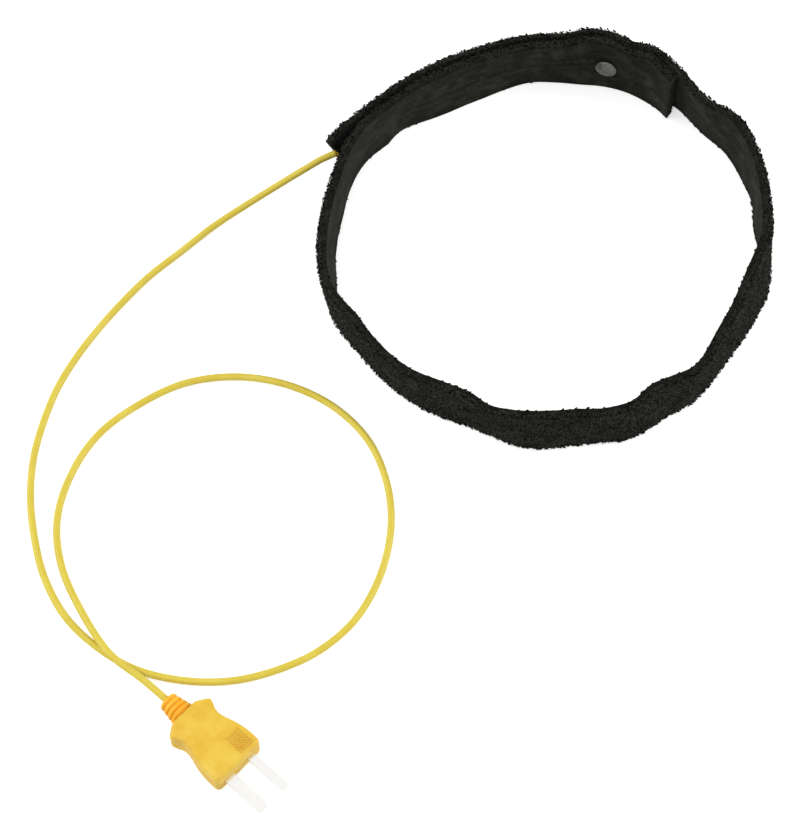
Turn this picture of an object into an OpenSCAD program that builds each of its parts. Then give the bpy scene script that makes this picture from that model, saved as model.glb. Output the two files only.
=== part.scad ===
// Flexible cuff temperature probe: a hook-and-loop strap that holds a thermocouple contact disc
// against a pipe, with a thin lead to a miniature two-blade thermocouple plug.
// The strap stands on its edge, closed into a loop round the Z axis. Its bottom edge is at z = 0.
// Angles are measured about Z from +X. From the flap's tip the strap runs clockwise through the
// flap, the upper arm, the lower arm and the cuff, and its other end is the tail under the flap.

/* [Strap] */
// Mean radius of the closed loop, at the seam between the strap's two plies
loop_r = 62.5; // [50:0.5:90]
// Width of the strap, which is its height as it stands
strap_w = 19; // [15:0.5:30]
// Thickness of the outer ply, with its loop pile
web_t = 1.4; // [1.3:0.1:2.4]
// Thickness of the inner ply
liner_t = 1.0; // [0.9:0.1:1.6]
// Thickness of the hook tape under the flap
hook_t = 1.1; // [0.8:0.1:2]
// Gap between the hook tape and the pile that it grips
hook_gap = 0.3; // [0.2:0.05:0.6]
// How far the flap's tip stands off the tail
tip_lift = 2.6; // [1.4:0.1:4]
// Distance by which the flap's end edge is cut back from its top corner to its bottom corner
tip_slant = 7; // [0:0.5:9]
// Gap between two neighbouring lengths of strap at a flex line
flex_gap = 0.3; // [0.2:0.05:0.5]

/* [Sensor] */
// Angle of the contact disc on the inside of the tail
sensor_angle = 72; // [66:1:84]
// Diameter of the contact disc
disc_d = 6.5; // [5:0.1:9]
// Thickness of the disc's rim
disc_rim_t = 0.4; // [0.3:0.05:0.8]
// Height of the disc's dome above its rim
disc_dome = 0.5; // [0.2:0.05:1]
// Diameter of the rivet stem behind the disc
stem_d = 1.8; // [1.2:0.1:2.4]
// Diameter of the welded junction bead
bead_d = 0.9; // [0.6:0.1:1]
// Diameter of one insulated conductor
wire_d = 0.8; // [0.6:0.05:0.9]
// Clearance round a conductor in its channel
wire_fit = 0.1; // [0.05:0.05:0.2]

/* [Lead] */
// Outer diameter of the lead's jacket
lead_d = 2.0; // [1.6:0.1:2.4]
// Diameter of the bare core inside the plug
core_d = 0.5; // [0.3:0.05:0.6]

/* [Plug] */
// Length of the plug's housing without the blades
plug_len = 20.5; // [19:0.5:26]
// Width across the plug's blade face
plug_w = 16; // [15.6:0.1:19]
// Width across the finger wings at the rear
wing_w = 14.6; // [13.5:0.1:17]
// Width across the waist between the wings and the face
waist_w = 12.3; // [12:0.1:14]
// Thickness of the housing
plug_t = 8; // [7.6:0.1:11]
// Radius of the housing's long edges
edge_r = 1.2; // [0.5:0.1:1.4]
// Wall at the housing's rear, where the boot's neck passes
rear_wall = 1; // [0.8:0.1:1.4]
// Distance between the blades' centre lines
blade_pitch = 7.9; // [7.7:0.1:8.1]
// Width of the narrow, positive blade
blade_pos_w = 2.4; // [2:0.1:2.8]
// Width of the wide, negative blade
blade_neg_w = 3.2; // [2.9:0.1:3.6]
// Thickness of each blade
blade_t = 0.8; // [0.6:0.1:1]
// Length of each blade outside the housing
blade_out = 12.7; // [10:0.1:14]
// Width of each blade's terminal tab inside the housing
tab_w = 2.4; // [2.2:0.1:2.6]
// Clearance round a blade in its slot
blade_fit = 0.1; // [0.05:0.05:0.2]

/* [Boot] */
// Length of the ribbed boot outside the housing
boot_len = 6.4; // [5:0.2:12]
// Diameter of the boot at its free end
boot_tip_d = 5.2; // [4.2:0.1:5.6]
// Diameter of the boot where it meets the housing
boot_base_d = 7.4; // [6:0.1:7.8]
// Number of ribs round the boot
rib_count = 4; // [2:1:6]
// Depth of the grooves between the ribs
groove_depth = 0.6; // [0.3:0.1:0.8]
// Clearance between the lead and the boot's bore
bore_fit = 0.1; // [0.05:0.05:0.2]

/* [Fasteners] */
// Diameter of the case screw's shank
case_screw_d = 2; // [1.6:0.1:2.2]
// Diameter of the case screw's head
case_head_d = 3.8; // [3.4:0.1:4.2]
// Outer diameter of the brass insert in the upper shell
insert_d = 3.2; // [2.8:0.1:3.4]
// Diameter of a terminal screw's shank
terminal_screw_d = 1.6; // [1.2:0.1:1.7]
// Diameter of a terminal screw's head
terminal_head_d = 2.3; // [2:0.1:2.4]

/* [Hidden] */

BLACK = "#26272a";
PILE = "#2e2f2c";
STEEL = "#8d8f8c";
YELLOW = "#f2c94c";
ORANGE = "#eab93e";
BRASS = "#c9a34a";
ALLOY = "#b9b5a8";

// Angles of the flex lines, from the flap to the cuff, and of the strap's two ends
tip_end = 153.6;
mid_flex = 121;
flap_flex = 89;
root_flex = 57;
upper_flex = 4;
lower_flex = -70;
tail_end = -308;
// Largest angle between two sections of a swept ply
ply_step = 3;
// Over these angles the flap leaves the tail
lift_from = 145;
lift_to = 157;
// The hook tape stops this far short of the flap's end
hook_margin = 2;
// Distance from the hook tape's outer face to the tail's seam
lap = web_t + hook_gap + hook_t;

// Centre of the loop, which puts the strap's outer box squarely round the origin
loop_at = [0.05, -1.99];
// How the strap lies: [angle, sway of the bottom edge, sway of the top edge] from loop_r.
// The first row lies on the tail, one lap further out.
tail_at_root = [1.4, 2.4];
strap_lay = concat([[60, tail_at_root[0] + lap, tail_at_root[1] + lap]], [
    [52, 4.6, 2.6], [46, 3.4, 0.4], [40, 2.8, 0.3], [33, 3.6, 3], [24, 3, 2.5], [16, 2.3, 1.4],
    [8, 0.3, 0.3], [-2, 1.2, -0.5], [-12, 1.1, -3], [-18, -0.2, -4], [-30, -2, -3.9],
    [-38, -2.2, -3.1], [-50, -1.1, -0.6], [-58, -1.8, -1.9], [-63, -1, -2.2], [-70, -0.3, 0.3],
    [-78, -1.5, 0], [-84, -1.8, -0.9], [-96, -1, -0.2], [-106, -3, 0.2], [-112, -3.7, -1.9],
    [-118, -3.2, -1.9], [-130, -2.3, 0.2], [-144, -1.7, 0.4], [-150, -1.3, 0.3], [-156, -0.2, 1.8],
    [-162, 0.4, 3], [-172, -0.8, 1.9], [-182, -1.1, 0.4], [-194, -1.3, -0.6], [-206, -0.3, -0.5],
    [-213, -0.3, -0.7], [-220, -1.5, -1.8], [-226, -1.1, -2.6], [-238, -4, -3.3], [-252, -3.6, -3.2],
    [-268, -0.3, -1.5], [-276, 0, -0.6], [-282, 0.3, 2.2], [-288, 1.3, 2.7], [-293, 1.7, 1.4],
    [-299, 1.3, 2.5], [-305, 0.6, 0.3], [-312, -1.6, -1.6]
]);

// The sensor's height up the strap, which is also the height of the wire channel
wire_z = strap_w / 2 - 0.5;
wire_pitch = wire_d + wire_fit;
channel_h = 2 * wire_d + 4 * wire_fit + 0.2;
channel_depth = wire_d / 2 + wire_fit;
// The channel ends under the flap's tip, at the slit where the lead leaves the strap
lead_angle = 155.3;
slit_from = lead_angle - 3.6;
slit_to = lead_angle + 1.5;
lead_stand_off = 4.2;
lead_rise = 2.8;
// Clearance between the disc and the ply that it lies on, and of its stem in that ply
disc_fit = 0.5;
stem_fit = 0.1;
bead_gap = 0.03;
pocket_r = bead_d / 2 + wire_d + 1.4;

// Where the plug lies from the loop's centre, and the way that its blades point
plug_at = [-98.3, -143.6];
plug_turn = -43;
mid_z = plug_t / 2;
core_z = blade_t / 2 + core_d / 2 + 0.05;
boot_bore_r = lead_d / 2 + bore_fit;
neck_r = 2.2;
collar_r = 3;
collar_len = 1.4;
neck_fit = 0.05;
// The lead's jacket is stripped back to here
strip_x = rear_wall + collar_len + 0.4;
bay_x = 8.6;
bay_end = 15.4;
bay_half = blade_pitch / 2 + tab_w / 2 + 0.15;
bay_height = 2.5;
wire_bay_half = 3;
wire_bay_height = 1.4;
terminal_x = 11;
terminal_head_h = 0.9;
terminal_shank_depth = 2;
screw_fit = 0.05;
case_x = 12.4;
case_head_h = 1.2;
case_recess = 1.5;
insert_h = 2.4;
boss_r = insert_d / 2 + 0.45;

// ---- Functions ----

// Cubic through b and c, with slopes taken from the neighbours a and d
function curve_at(a, b, c, d, t) =
    b + t * (c - a) / 2 + t * t * (2 * a - 5 * b + 4 * c - d) / 2 + t * t * t * (3 * b - a - 3 * c + d) / 2;

function clamped(list, i) = list[max(0, min(len(list) - 1, i))];

// Smooth step from 0 to 1
function ease(t) = let (s = max(0, min(1, t))) s * s * (3 - 2 * s);

// Slope of column k of a table at row i, per degree
function row_slope(table, i, k) =
    let (a = clamped(table, i - 1), b = clamped(table, i + 1)) (b[k] - a[k]) / (b[0] - a[0]);

// Column k of a table with falling angles, at angle a
function table_at(table, a, k) =
    let (i = max([0, for (j = [0:len(table) - 2]) if (table[j][0] >= a) j]),
         p = table[i], q = table[i + 1], w = q[0] - p[0], t = (a - p[0]) / w, u = 1 - t)
    p[k] * u * u * (1 + 2 * t) + q[k] * t * t * (3 - 2 * t)
    + w * (row_slope(table, i, k) * t * u * u - row_slope(table, i + 1, k) * t * t * u);

// Radius of the seam between the plies, at angle a and height z. Angles above root_flex are the flap's.
function lay_r(a, z) =
    let (h = z / strap_w) loop_r + table_at(strap_lay, a, 1) * (1 - h) + table_at(strap_lay, a, 2) * h;
function flap_lift(a) = tip_lift * ease((a - lift_from) / (lift_to - lift_from));
function seam_r(a, z) =
    a > root_flex ? lay_r(a - 360, z) + lap + flap_lift(a) : lay_r(a, z);

// A point given from the loop's centre, in the part's frame
function placed(p) = [loop_at[0] + p[0], loop_at[1] + p[1], p[2]];
// A point at angle a, height z and distance u outwards from the seam
function strap_point(a, u, z) = let (r = seam_r(a, z) + u) placed([r * cos(a), r * sin(a), z]);
// The same, on the tail under the flap
function tail_point(a, u, z) = strap_point(a - 360, u, z);

// A gap of this width, as an angle at the seam
function gap_angle(gap) = gap / loop_r * 180 / PI;
hook_end = tip_end - gap_angle(hook_margin);

// Half the housing's width along its length, from rear to face: [x, half width]
half_widths = [
    [0, boot_base_d / 2 + 0.4], [0.05 * plug_len, wing_w / 2 - 1.5], [0.11 * plug_len, wing_w / 2],
    [0.17 * plug_len, wing_w / 2 - 0.1], [0.25 * plug_len, waist_w / 2 + 0.3],
    [0.33 * plug_len, waist_w / 2], [0.43 * plug_len, waist_w / 2 + 0.3],
    [0.57 * plug_len, plug_w / 2 - 0.7], [0.74 * plug_len, plug_w / 2 - 0.1],
    [0.93 * plug_len, plug_w / 2], [0.98 * plug_len, plug_w / 2 - 0.4], [plug_len, plug_w / 2 - 1.2]
];
outline_steps = 3;
function side_profile() = [
    for (i = [0:len(half_widths) - 2], k = [0:outline_steps - 1])
        let (t = k / outline_steps)
        curve_at(clamped(half_widths, i - 1), half_widths[i], half_widths[i + 1],
                 clamped(half_widths, i + 2), t),
    half_widths[len(half_widths) - 1]
];
// The housing's outline, drawn in by the distance inset
function plug_outline(inset) =
    let (side = side_profile(), n = len(side), squeeze = (plug_len - 2 * inset) / plug_len)
    concat([for (p = side) [inset + p[0] * squeeze, -(p[1] - inset)]],
           [for (i = [n - 1:-1:0]) [inset + side[i][0] * squeeze, side[i][1] - inset]]);

// Middle points of a smooth run through the points given, with the number of steps between each two
function smooth_run(points, steps) = [
    for (i = [0:len(points) - 2], k = [0:steps - 1])
        curve_at(clamped(points, i - 1), points[i], points[i + 1], clamped(points, i + 2), k / steps),
    points[len(points) - 1]
];

function unit(v) = v / norm(v);

// Ring of points round p, square to the direction d and anticlockwise about it
function tube_ring(p, d, r, sides) =
    let (side = unit(cross(d, [0, 0, 1])), up = cross(d, side))
    [for (k = [0:sides - 1]) let (a = 360 * (k + 0.5) / sides) p + r * (cos(a) * side + sin(a) * up)];

// A point given along the plug's axis, to its left and above the table
function plug_point(x, y, z) = placed([
    plug_at[0] + x * cos(plug_turn) - y * sin(plug_turn),
    plug_at[1] + x * sin(plug_turn) + y * cos(plug_turn),
    z
]);

// ---- Shared forms ----

// Solid through a list of closed rings with equal numbers of points, anticlockwise about the way
// from the first ring to the last. Facets are split along one diagonal, but on the side named by
// turned along the other.
module loft(rings, turned = -1) {
    n = len(rings[0]);
    last = len(rings) - 1;
    points = [for (ring = rings) each ring];
    sides = [
        for (i = [0:last - 1], k = [0:n - 1])
            let (a = i * n + k, b = i * n + (k + 1) % n)
            each k == turned ? [[a, a + n, b], [b, a + n, b + n]] : [[a, b + n, b], [a, a + n, b + n]]
    ];
    caps = [[for (k = [0:n - 1]) k], [for (k = [n - 1:-1:0]) last * n + k]];
    polyhedron(points, concat(sides, caps));
}

// Round tube through the points given, with flat ends
module tube(points, d, sides) {
    last = len(points) - 1;
    loft([
        for (i = [0:last])
            let (ahead = clamped(points, i + 1), behind = clamped(points, i - 1))
            tube_ring(points[i], unit(ahead - behind), d / 2, sides)
    ]);
}

// Angles of a swept ply's sections: its two ends, and between them the multiples of ply_step and
// the hook tape's end, so that the plies of one length share their sections
function sections(a0, a1) =
    let (near = 0.1 * ply_step)
    concat([a0], [for (k = [ceil(a0 / ply_step):-1:floor(a1 / ply_step)])
        let (a = k * ply_step)
        each [for (b = hook_end > a && hook_end < a + ply_step ? [hook_end, a] : [a])
            if (b < a0 - near && b > a1 + near) b]], [a1]);

// Half the slant of the section at angle a: none up to the middle of the flap, all of it at the tip
function half_slant(a) = gap_angle(tip_slant) / 2 * max(0, (a - mid_flex) / (tip_end - mid_flex));

// A length of one ply: from angle a0 down to a1, and from distance u0 to u1 outwards from the seam
module ply(a0, a1, u0, u1) {
    outer_side = 1;
    loft([
        for (a = sections(a0, a1))
            let (low = a - half_slant(a), high = a + half_slant(a))
            [
                strap_point(low, u0, 0), strap_point(low, u1, 0),
                strap_point(high, u1, strap_w), strap_point(high, u0, strap_w)
            ]
    ], outer_side);
}

module web(a0, a1) {
    color(PILE) ply(a0, a1, 0, web_t);
}

module liner(a0, a1) {
    color(BLACK) ply(a0, a1, -liner_t, 0);
}

module hook_tape(a0, a1) {
    color(BLACK) ply(a0, a1, -hook_t, 0);
}

// Half of the gap at a flex line, as an angle
half_flex = gap_angle(flex_gap) / 2;

// Places its children on the seam at the sensor, with +Z pointing outwards
module at_sensor() {
    a = sensor_angle - 360;
    slope = (lay_r(a + 1, wire_z) - lay_r(a - 1, wire_z)) / (2 * PI / 180 * loop_r);
    translate(strap_point(a, 0, wire_z))
        rotate([0, 0, a - atan(slope)])
            rotate([0, 90, 0])
                children();
}

// The wires' channel along the seam of the tail
module wire_channel() {
    steps = ceil((slit_to - sensor_angle) / ply_step);
    low = wire_z - channel_h / 2;
    high = wire_z + channel_h / 2;
    loft([
        for (i = [0:steps])
            let (a = slit_to + (sensor_angle - slit_to) * i / steps)
            [
                tail_point(a, -channel_depth, low), tail_point(a, channel_depth, low),
                tail_point(a, channel_depth, high), tail_point(a, -channel_depth, high)
            ]
    ]);
}

// The slit through the outer ply, at the end of the channel
module lead_slit() {
    low = wire_z - channel_h / 2;
    high = wire_z + channel_h / 2;
    loft([
        for (a = [slit_to, slit_from])
            [
                tail_point(a, 0, low), tail_point(a, 2 * web_t, low),
                tail_point(a, 2 * web_t, high), tail_point(a, 0, high)
            ]
    ]);
}

// ---- Strap ----

module cuff_web() {
    pocket_depth = bead_d + 0.15;
    difference() {
        web(lower_flex - half_flex, tail_end);
        wire_channel();
        lead_slit();
        at_sensor() translate([0, 0, -channel_depth])
            cylinder(h = pocket_depth + channel_depth, r = pocket_r, $fn = 32);
    }
}

module cuff_liner() {
    difference() {
        liner(lower_flex - half_flex, tail_end);
        wire_channel();
        at_sensor() cylinder(h = 4 * liner_t, r = stem_d / 2 + stem_fit, center = true, $fn = 32);
    }
}

module lower_arm_web() web(upper_flex - half_flex, lower_flex + half_flex);
module lower_arm_liner() liner(upper_flex - half_flex, lower_flex + half_flex);
module upper_arm_web() web(root_flex - half_flex, upper_flex + half_flex);
module upper_arm_liner() liner(root_flex - half_flex, upper_flex + half_flex);
module flap_root_web() web(flap_flex - half_flex, root_flex + half_flex);
module flap_root_hook() hook_tape(flap_flex - half_flex, root_flex + half_flex);
module flap_mid_web() web(mid_flex - half_flex, flap_flex + half_flex);
module flap_mid_hook() hook_tape(mid_flex - half_flex, flap_flex + half_flex);
module flap_tip_web() web(tip_end, mid_flex + half_flex);
module flap_tip_hook() hook_tape(hook_end, mid_flex + half_flex);

// ---- Sensor ----

module contact_disc() {
    face = -liner_t - disc_fit;
    stem_end = 0.1;
    color(STEEL) at_sensor() rotate_extrude($fn = 48)
        polygon(concat(
            [[0, stem_end], [stem_d / 2, stem_end], [stem_d / 2, face], [disc_d / 2, face],
             [disc_d / 2, face - disc_rim_t]],
            [for (k = [1:6]) let (t = k / 6)
                [disc_d / 2 * cos(90 * t), face - disc_rim_t - disc_dome * sin(90 * t)]]
        ));
}

bead_u = 0.1 + bead_gap + bead_d / 2;

module junction_bead() {
    color(STEEL) at_sensor() translate([0, 0, bead_u]) sphere(d = bead_d, $fn = 24);
}

// One conductor, from the bead along the channel and out through the slit. side is 1 or -1.
module wire(side) {
    z = wire_z + side * wire_pitch / 2;
    start = sensor_angle + gap_angle(bead_d / 2 + 0.15);
    bend = start + 2;
    ramp = slit_from + 0.3;
    spread = 0.25;
    steps = ceil((ramp - bend) / ply_step);
    points = concat(
        [tail_point(start, bead_u, z), tail_point(start + 0.8, bead_u / 2, z)],
        [for (i = [0:steps]) tail_point(bend + (ramp - bend) * i / steps, 0, z)],
        [tail_point(lead_angle - 1.7, web_t * 0.7, z),
         tail_point(lead_angle - 0.7, web_t * 1.2, z + side * spread / 2),
         tail_point(lead_angle, web_t + lead_stand_off - 0.6, z + lead_rise + side * spread)]
    );
    tube(points, wire_d, 6);
}

module wire_positive() color(YELLOW) wire(1);
module wire_negative() color("#b03a2e") wire(-1);

// ---- Lead ----

// The lead leaves the strap at the slit, sags to the table, makes a wide loop, passes over its
// own first run and enters the plug's boot. The points are given from the loop's centre.
lead_run = [
    [-64.4, 27, 11.2], [-69.2, 24.2, 9.2], [-76, 21.2, 6.4], [-86, 16, 3.1], [-96, 9.3, 1.4],
    [-105, 1, 1.1], [-114, -7.5, 1.1], [-121.5, -16.5, 1.1], [-128, -25.5, 1.1],
    [-133.5, -34.5, 1.1], [-138, -44, 1.1], [-141.2, -54.5, 1.1], [-143.3, -66, 1.1],
    [-143.4, -78, 1.1], [-141.6, -90, 1.1], [-138.2, -102, 1.1], [-132, -113.5, 1.1],
    [-123, -122.5, 1.1], [-112, -129.2, 1.1], [-99, -132.4, 1.1], [-86, -132.4, 1.1],
    [-74, -129.2, 1.1], [-63, -123.6, 1.1], [-53.5, -114.4, 1.1], [-47, -101.5, 1.1],
    [-44.2, -87, 1.1], [-45.6, -73, 1.1], [-51, -60, 1.1], [-61, -49.5, 1.1],
    [-74, -42.8, 1.1], [-88, -40.4, 1.1], [-102, -42.4, 1.1], [-114.5, -49, 1.1],
    [-125.5, -58.5, 1.1], [-132.5, -71, 1.1], [-135.6, -85, 1.1], [-133.6, -99, 1.2],
    [-127.4, -112.6, 1.9]
];
// It nears the plug here: along the plug's axis, to its left and above the table
plug_approach = [[-28, -0.8, 3.1], [-16, -0.2, 3.8]];
lead_route = concat(
    [tail_point(lead_angle, web_t + lead_stand_off, wire_z + lead_rise)],
    [for (p = lead_run) placed(p)],
    [for (p = plug_approach) plug_point(p[0], p[1], p[2])],
    [for (x = [-boot_len - 1, 0, strip_x]) plug_point(x, 0, mid_z)]
);

module lead_cord() {
    color(YELLOW) tube(smooth_run(lead_route, 2), lead_d, 8);
}

// ---- Plug ----

module at_plug() {
    translate(plug_point(0, 0, mid_z)) rotate([0, 0, plug_turn]) children();
}

// Cylinder along the plug's axis, from x0 to x1
module along(x0, x1, r) {
    translate([x0, 0, 0]) rotate([0, 90, 0]) cylinder(h = x1 - x0, r = r, $fn = 48);
}

// Box with its lowest x at x0, centred on y and reaching h either side of the parting plane
module bay_box(x0, x1, half, h) {
    translate([x0, -half, -h]) cube([x1 - x0, 2 * half, 2 * h]);
}

// The slot of one blade, through the blade face
module blade_slot(y, w) {
    translate([bay_end - 0.2, y - w / 2 - blade_fit, -blade_t / 2 - blade_fit])
        cube([plug_len - bay_end + 1, w + 2 * blade_fit, blade_t + 2 * blade_fit]);
}

// Outer form of the half above the parting plane, with its long edge rounded
module shell_form() {
    edge_steps = 3;
    height = plug_t / 2;
    loft(concat(
        [[for (p = plug_outline(0)) [p[0], p[1], 0]]],
        [for (k = [0:edge_steps])
            let (a = 90 * k / edge_steps, inset = edge_r * (1 - cos(a)),
                 z = height - edge_r + edge_r * sin(a))
            [for (p = plug_outline(inset)) [p[0], p[1], z]]]
    ));
}

// What both halves leave free for the boot, the lead, the blades and the case screw
module shared_cuts() {
    along(-1, rear_wall + neck_fit, neck_r + neck_fit);
    along(rear_wall - neck_fit, rear_wall + collar_len + neck_fit, collar_r + neck_fit);
    along(rear_wall, strip_x + 0.4, boot_bore_r);
    blade_slot(blade_pitch / 2, blade_pos_w);
    blade_slot(-blade_pitch / 2, blade_neg_w);
}

module case_boss(h) {
    translate([case_x, 0, 0]) cylinder(h = h, r = boss_r, $fn = 48);
}

module plug_shell_upper() {
    color(YELLOW) at_plug() difference() {
        shell_form();
        shared_cuts();
        bay_box(strip_x + 0.2, bay_x + 0.2, wire_bay_half, wire_bay_height);
        difference() {
            bay_box(bay_x, bay_end, bay_half, bay_height);
            translate([0, 0, -plug_t]) case_boss(2 * plug_t);
        }
        translate([case_x, 0, -1]) cylinder(h = insert_h + 0.1 + 1, r = insert_d / 2, $fn = 48);
    }
}

module plug_shell_lower() {
    floor_depth = blade_t / 2 + screw_fit;
    color(YELLOW) at_plug() difference() {
        mirror([0, 0, 1]) shell_form();
        shared_cuts();
        bay_box(strip_x + 0.2, bay_x + 0.2, wire_bay_half, floor_depth);
        difference() {
            bay_box(bay_x, bay_end, bay_half, floor_depth);
            translate([0, 0, -plug_t]) case_boss(2 * plug_t);
        }
        translate([case_x, 0, -plug_t]) cylinder(h = 2 * plug_t, r = case_screw_d / 2 + 0.1, $fn = 48);
        translate([case_x, 0, -plug_t / 2 - 1])
            cylinder(h = case_recess + 1, r = case_head_d / 2 + 0.1, $fn = 48);
        for (side = [-1, 1])
            translate([terminal_x, side * blade_pitch / 2, -terminal_shank_depth - 0.1])
                cylinder(h = plug_t, r = terminal_screw_d / 2 + screw_fit, $fn = 32);
    }
}

// A flat blade with a narrower terminal tab, centred on y
module blade(y, w) {
    tab_start = bay_x + 0.3;
    shoulder = bay_end + 0.3;
    tip = plug_len + blade_out;
    chamfer = 0.6;
    color(ALLOY) at_plug() translate([0, y, -blade_t / 2]) difference() {
        linear_extrude(blade_t)
            polygon([
                [tab_start, -tab_w / 2], [shoulder, -tab_w / 2], [shoulder, -w / 2],
                [tip - chamfer, -w / 2], [tip, -w / 2 + chamfer], [tip, w / 2 - chamfer],
                [tip - chamfer, w / 2], [shoulder, w / 2], [shoulder, tab_w / 2], [tab_start, tab_w / 2]
            ]);
        translate([terminal_x, 0, -1])
            cylinder(h = blade_t + 2, r = terminal_screw_d / 2 + screw_fit, $fn = 32);
    }
}

module blade_positive() blade(blade_pitch / 2, blade_pos_w);
module blade_negative() blade(-blade_pitch / 2, blade_neg_w);

module terminal_screws() {
    head_z = core_z + core_d / 2 + 0.05;
    color(STEEL) at_plug() for (side = [-1, 1])
        translate([terminal_x, side * blade_pitch / 2, 0]) difference() {
            union() {
                translate([0, 0, -terminal_shank_depth])
                    cylinder(h = terminal_shank_depth + head_z + 0.1, d = terminal_screw_d, $fn = 32);
                translate([0, 0, head_z]) cylinder(h = terminal_head_h, d = terminal_head_d, $fn = 32);
            }
            translate([-2, -0.2, head_z + terminal_head_h - 0.4]) cube([4, 0.4, 1]);
        }
}

module case_screw() {
    head_z = -plug_t / 2 + case_recess - case_head_h;
    slot_w = 0.6;
    color(STEEL) at_plug() translate([case_x, 0, 0]) difference() {
        union() {
            translate([0, 0, head_z]) cylinder(h = case_head_h, d = case_head_d, $fn = 48);
            translate([0, 0, head_z + 0.1])
                cylinder(h = insert_h - 0.2 - head_z, d = case_screw_d, $fn = 48);
        }
        translate([-case_head_d, -slot_w / 2, head_z - 1]) cube([2 * case_head_d, slot_w, 1.5]);
    }
}

module case_insert() {
    color(BRASS) at_plug() translate([case_x, 0, 0]) difference() {
        translate([0, 0, 0.1]) cylinder(h = insert_h - 0.1, r = insert_d / 2 - 0.02, $fn = 48);
        translate([0, 0, -1]) cylinder(h = insert_h + 2, r = case_screw_d / 2 + 0.02, $fn = 48);
    }
}

// Ribbed boot, turned about the lead, with a collar held between the two shells
module plug_boot() {
    rib_pitch = boot_len / rib_count;
    groove = 0.35 * rib_pitch;
    ribs = [
        for (i = [0:rib_count - 1])
            let (x = -boot_len + i * rib_pitch,
                 r = boot_tip_d / 2 + (boot_base_d - boot_tip_d) / 2 * (i + 0.5) / rib_count)
            each [[x, r - 0.2], [x + 0.2, r], [x + rib_pitch - groove, r],
                  [x + rib_pitch - groove, r - groove_depth], [x + rib_pitch, r - groove_depth]]
    ];
    color(ORANGE) at_plug() rotate([0, 90, 0]) rotate_extrude($fn = 48)
        polygon([
            for (p = concat(
                [[-boot_len, boot_bore_r]], [for (p = ribs) if (p[0] < -0.01) p],
                [[-neck_fit, boot_base_d / 2 - 0.2], [-neck_fit, neck_r], [rear_wall, neck_r],
                 [rear_wall, collar_r], [rear_wall + collar_len, collar_r],
                 [rear_wall + collar_len, boot_bore_r]]
            )) [p[1], p[0]]
        ]);
}

// One bare core, from the stripped lead to its terminal screw. side is 1 or -1.
module core(side) {
    start_x = strip_x + 0.15;
    run = [
        [start_x, side * 0.4, 0], [start_x + 1, side * 0.7, core_z / 2],
        [bay_x - 1.4, side * 1.9, core_z],
        [terminal_x - 0.4, side * (blade_pitch / 2 - terminal_screw_d / 2 - core_d / 2 - 0.1), core_z],
        [terminal_x + 1.2, side * (blade_pitch / 2 - terminal_screw_d / 2 - core_d / 2 + 0.15), core_z]
    ];
    at_plug() tube(smooth_run(run, 3), core_d, 6);
}

module core_positive() color("#b9b6ad") core(1);
module core_negative() color("#c8c4ba") core(-1);

// ---- Parts ----

cuff_web();
cuff_liner();
lower_arm_web();
lower_arm_liner();
upper_arm_web();
upper_arm_liner();
flap_root_web();
flap_root_hook();
flap_mid_web();
flap_mid_hook();
flap_tip_web();
flap_tip_hook();
contact_disc();
junction_bead();
wire_positive();
wire_negative();
lead_cord();
core_positive();
core_negative();
plug_boot();
plug_shell_upper();
plug_shell_lower();
blade_positive();
blade_negative();
terminal_screws();
case_screw();
case_insert();
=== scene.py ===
"""Flexible cuff temperature probe: a hook-and-loop strap with a contact disc, a yellow lead and a
miniature two-blade thermocouple plug. Lengths are written in millimetres and made metres by MM.
The strap stands on its edge round the Z axis, and angles are degrees about Z from +X."""
import math

import bmesh
import bpy
import numpy as np
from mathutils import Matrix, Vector


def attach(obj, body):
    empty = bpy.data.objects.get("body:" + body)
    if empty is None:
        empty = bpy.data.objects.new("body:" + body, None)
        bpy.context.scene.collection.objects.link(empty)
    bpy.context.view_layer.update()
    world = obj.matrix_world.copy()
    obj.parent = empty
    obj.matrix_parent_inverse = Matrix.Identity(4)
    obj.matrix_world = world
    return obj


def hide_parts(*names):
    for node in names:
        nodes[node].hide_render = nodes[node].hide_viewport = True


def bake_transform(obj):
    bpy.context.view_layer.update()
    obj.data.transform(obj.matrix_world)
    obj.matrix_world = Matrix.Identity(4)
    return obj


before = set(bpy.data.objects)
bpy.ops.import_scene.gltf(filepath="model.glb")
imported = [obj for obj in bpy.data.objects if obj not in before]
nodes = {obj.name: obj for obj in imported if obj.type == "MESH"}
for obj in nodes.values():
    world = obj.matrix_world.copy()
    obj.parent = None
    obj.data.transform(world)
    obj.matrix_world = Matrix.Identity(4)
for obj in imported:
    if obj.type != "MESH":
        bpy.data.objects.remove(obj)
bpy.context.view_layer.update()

MM = 0.001

# ---- The strap's form, as in the part's source ----

LOOP_R = 62.5
STRAP_W = 19.0
WEB_T = 1.4
LINER_T = 1.0
HOOK_T = 1.1
LAP = WEB_T + 0.3 + HOOK_T
TIP_LIFT = 2.6
TIP_SLANT = 7.0
LOOP_AT = (0.05, -1.99)
TIP_END, MID_FLEX, FLAP_FLEX, ROOT_FLEX = 153.6, 121.0, 89.0, 57.0
UPPER_FLEX, LOWER_FLEX, TAIL_END = 4.0, -70.0, -308.0
LIFT_FROM, LIFT_TO = 145.0, 157.0
HOOK_END = TIP_END - math.degrees(2 / LOOP_R)
SENSOR_ANGLE = 72.0
WIRE_Z = STRAP_W / 2 - 0.5
LEAD_ANGLE = 155.3
LEAD_STAND_OFF = 4.2
LEAD_RISE = 2.8

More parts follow.
